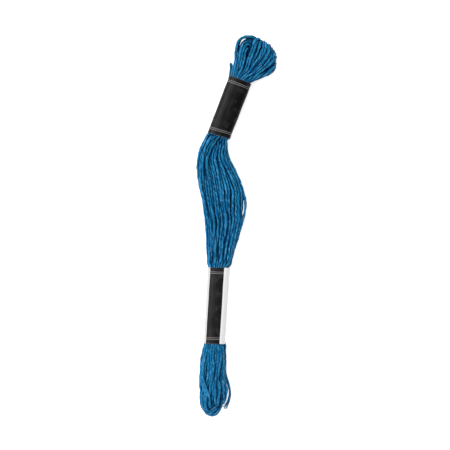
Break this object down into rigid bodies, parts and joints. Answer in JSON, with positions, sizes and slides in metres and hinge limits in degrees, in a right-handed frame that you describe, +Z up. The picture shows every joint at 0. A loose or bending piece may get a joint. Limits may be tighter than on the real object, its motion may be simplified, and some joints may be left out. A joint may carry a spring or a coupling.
{
  "type": "skein of embroidery floss",
  "caption": "Flat pulled skein of blue embroidery floss, looped at both ends and held by paper bands, lying on a surface with a loose cut end.",
  "frame": {"origin": "on the surface that the skein lies on, under the middle of its footprint", "axes": "+Y along the skein from its tail to its head, +Z up from the surface"},
  "size_m": [0.0348, 0.1647, 0.0062],
  "materials": {
    "floss": "mercerised cotton, soft sheen",
    "black_paper": "smooth printed paper, satin",
    "white_paper": "smooth paper with a black printed stripe, satin"
  },
  "bodies": {
    "root": {"floss_skein": "floss", "loose_end": "floss", "short_end": "floss", "upper_band": "black_paper", "lower_band": "white_paper"}
  },
  "joints": []
}
